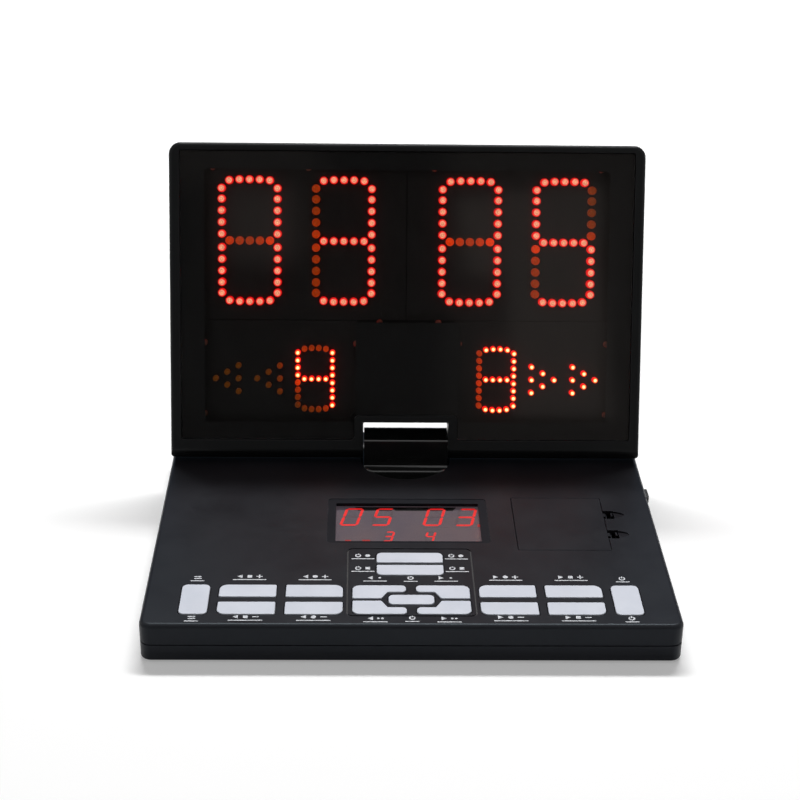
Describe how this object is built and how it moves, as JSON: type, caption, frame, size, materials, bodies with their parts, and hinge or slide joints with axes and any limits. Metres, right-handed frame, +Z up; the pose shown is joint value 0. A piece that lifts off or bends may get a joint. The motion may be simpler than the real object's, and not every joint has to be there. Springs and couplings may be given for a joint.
{
  "type": "electronic scoreboard",
  "caption": "Fold-up table-top scoreboard: a keypad base with a small operator display and battery door, and a swivelling, tilting lid with lamp digits behind a window.",
  "frame": {"origin": "on the table under the middle of the open scoreboard", "axes": "+X to the user's right, +Y to the back, +Z up from the table"},
  "size_m": [0.2826, 0.2482, 0.2022],
  "materials": {
    "case_black": "satin, fine grain",
    "hinge_black": "gloss",
    "key_grey": "matt, fine grain",
    "window_smoke": "smoked, polished",
    "lamp_board": "matt",
    "circuit_board": "satin",
    "rubber_dark": "matt",
    "rubber_mat": "matt",
    "steel_plated": "plated",
    "cell_wrap": "printed film",
    "plastic_white": "satin",
    "switch_black": "matt"
  },
  "bodies": {
    "base": {"base_top_shell": "case_black", "base_bottom_shell": "case_black", "main_board": "circuit_board", "key_mat": "rubber_mat", "operator_board": "circuit_board", "operator_window": "window_smoke", "battery_tray": "case_black", "battery_cell_1": "cell_wrap", "battery_cell_2": "cell_wrap", "battery_cell_3": "cell_wrap", "battery_contact_front": "steel_plated", "battery_contact_rear": "steel_plated", "side_switch_body": "plastic_white", "dc_inlet": "switch_black", "swivel_bush": "plastic_white", "foot_front_left": "rubber_dark", "foot_front_right": "rubber_dark", "foot_rear_left": "rubber_dark", "foot_rear_right": "rubber_dark", "base_screw_front_left": "steel_plated", "base_screw_front_right": "steel_plated", "base_screw_rear_left": "steel_plated", "base_screw_rear_right": "steel_plated"},
    "swivel": {"turntable": "hinge_black", "swivel_nut": "steel_plated", "hinge_block": "hinge_black", "tilt_pin_left": "steel_plated", "tilt_pin_right": "steel_plated"},
    "lid": {"lid_frame": "case_black", "lid_rear_cover": "case_black", "lid_window": "window_smoke", "display_board_upper_left": "lamp_board", "display_board_upper_right": "lamp_board", "display_board_lower_left": "lamp_board", "display_board_lower_right": "lamp_board", "driver_board": "circuit_board", "lid_screw_lower_left": "steel_plated", "lid_screw_lower_right": "steel_plated", "lid_screw_upper_left": "steel_plated", "lid_screw_upper_right": "steel_plated"},
    "door": {"battery_door": "case_black"},
    "switch": {"side_switch_knob": "switch_black"},
    "key_change": {"key_change": "key_grey"},
    "key_power": {"key_power": "key_grey"},
    "key_reset_points": {"key_reset_points": "key_grey"},
    "key_reset_games": {"key_reset_games": "key_grey"},
    "key_serve_reset": {"key_serve_reset": "key_grey"},
    "key_serve_left_first": {"key_serve_left_first": "key_grey"},
    "key_serve_left_second": {"key_serve_left_second": "key_grey"},
    "key_serve_right_first": {"key_serve_right_first": "key_grey"},
    "key_serve_right_second": {"key_serve_right_second": "key_grey"},
    "key_left_point_up": {"key_left_point_up": "key_grey"},
    "key_left_point_down": {"key_left_point_down": "key_grey"},
    "key_left_game_up": {"key_left_game_up": "key_grey"},
    "key_left_game_down": {"key_left_game_down": "key_grey"},
    "key_right_point_up": {"key_right_point_up": "key_grey"},
    "key_right_point_down": {"key_right_point_down": "key_grey"},
    "key_right_game_up": {"key_right_game_up": "key_grey"},
    "key_right_game_down": {"key_right_game_down": "key_grey"}
  },
  "joints": [
    {"name": "swivel_turn", "type": "hinge", "parent": "base", "child": "swivel", "pos_m": [0, 0.05588, 0.0304], "axis": [0, 0, 1], "range_deg": [0, 180]},
    {"name": "lid_tilt", "type": "hinge", "parent": "swivel", "child": "lid", "pos_m": [0, 0.05588, 0.0304], "axis": [1, 0, 0], "range_deg": [-30, 109.25]},
    {"name": "door_lift", "type": "slide", "parent": "base", "child": "door", "axis": [0, 0, 1], "range_m": [0, 0.03]},
    {"name": "switch_slide", "type": "slide", "parent": "base", "child": "switch", "axis": [0, 1, 0], "range_m": [0, 0.004]},
    {"name": "key_change_press", "type": "slide", "parent": "base", "child": "key_change", "axis": [0, 0, 1], "range_m": [-0.0008, 0], "stiffness_N_per_m": 500, "springref_m": 0.0003},
    {"name": "key_power_press", "type": "slide", "parent": "base", "child": "key_power", "axis": [0, 0, 1], "range_m": [-0.0008, 0], "stiffness_N_per_m": 500, "springref_m": 0.0003},
    {"name": "key_reset_points_press", "type": "slide", "parent": "base", "child": "key_reset_points", "axis": [0, 0, 1], "range_m": [-0.0008, 0], "stiffness_N_per_m": 500, "springref_m": 0.0003},
    {"name": "key_reset_games_press", "type": "slide", "parent": "base", "child": "key_reset_games", "axis": [0, 0, 1], "range_m": [-0.0008, 0], "stiffness_N_per_m": 500, "springref_m": 0.0003},
    {"name": "key_serve_reset_press", "type": "slide", "parent": "base", "child": "key_serve_reset", "axis": [0, 0, 1], "range_m": [-0.0008, 0], "stiffness_N_per_m": 500, "springref_m": 0.0003},
    {"name": "key_serve_left_first_press", "type": "slide", "parent": "base", "child": "key_serve_left_first", "axis": [0, 0, 1], "range_m": [-0.0008, 0], "stiffness_N_per_m": 500, "springref_m": 0.0003},
    {"name": "key_serve_left_second_press", "type": "slide", "parent": "base", "child": "key_serve_left_second", "axis": [0, 0, 1], "range_m": [-0.0008, 0], "stiffness_N_per_m": 500, "springref_m": 0.0003},
    {"name": "key_serve_right_first_press", "type": "slide", "parent": "base", "child": "key_serve_right_first", "axis": [0, 0, 1], "range_m": [-0.0008, 0], "stiffness_N_per_m": 500, "springref_m": 0.0003},
    {"name": "key_serve_right_second_press", "type": "slide", "parent": "base", "child": "key_serve_right_second", "axis": [0, 0, 1], "range_m": [-0.0008, 0], "stiffness_N_per_m": 500, "springref_m": 0.0003},
    {"name": "key_left_point_up_press", "type": "slide", "parent": "base", "child": "key_left_point_up", "axis": [0, 0, 1], "range_m": [-0.0008, 0], "stiffness_N_per_m": 500, "springref_m": 0.0003},
    {"name": "key_left_point_down_press", "type": "slide", "parent": "base", "child": "key_left_point_down", "axis": [0, 0, 1], "range_m": [-0.0008, 0], "stiffness_N_per_m": 500, "springref_m": 0.0003},
    {"name": "key_left_game_up_press", "type": "slide", "parent": "base", "child": "key_left_game_up", "axis": [0, 0, 1], "range_m": [-0.0008, 0], "stiffness_N_per_m": 500, "springref_m": 0.0003},
    {"name": "key_left_game_down_press", "type": "slide", "parent": "base", "child": "key_left_game_down", "axis": [0, 0, 1], "range_m": [-0.0008, 0], "stiffness_N_per_m": 500, "springref_m": 0.0003},
    {"name": "key_right_point_up_press", "type": "slide", "parent": "base", "child": "key_right_point_up", "axis": [0, 0, 1], "range_m": [-0.0008, 0], "stiffness_N_per_m": 500, "springref_m": 0.0003},
    {"name": "key_right_point_down_press", "type": "slide", "parent": "base", "child": "key_right_point_down", "axis": [0, 0, 1], "range_m": [-0.0008, 0], "stiffness_N_per_m": 500, "springref_m": 0.0003},
    {"name": "key_right_game_up_press", "type": "slide", "parent": "base", "child": "key_right_game_up", "axis": [0, 0, 1], "range_m": [-0.0008, 0], "stiffness_N_per_m": 500, "springref_m": 0.0003},
    {"name": "key_right_game_down_press", "type": "slide", "parent": "base", "child": "key_right_game_down", "axis": [0, 0, 1], "range_m": [-0.0008, 0], "stiffness_N_per_m": 500, "springref_m": 0.0003}
  ]
}
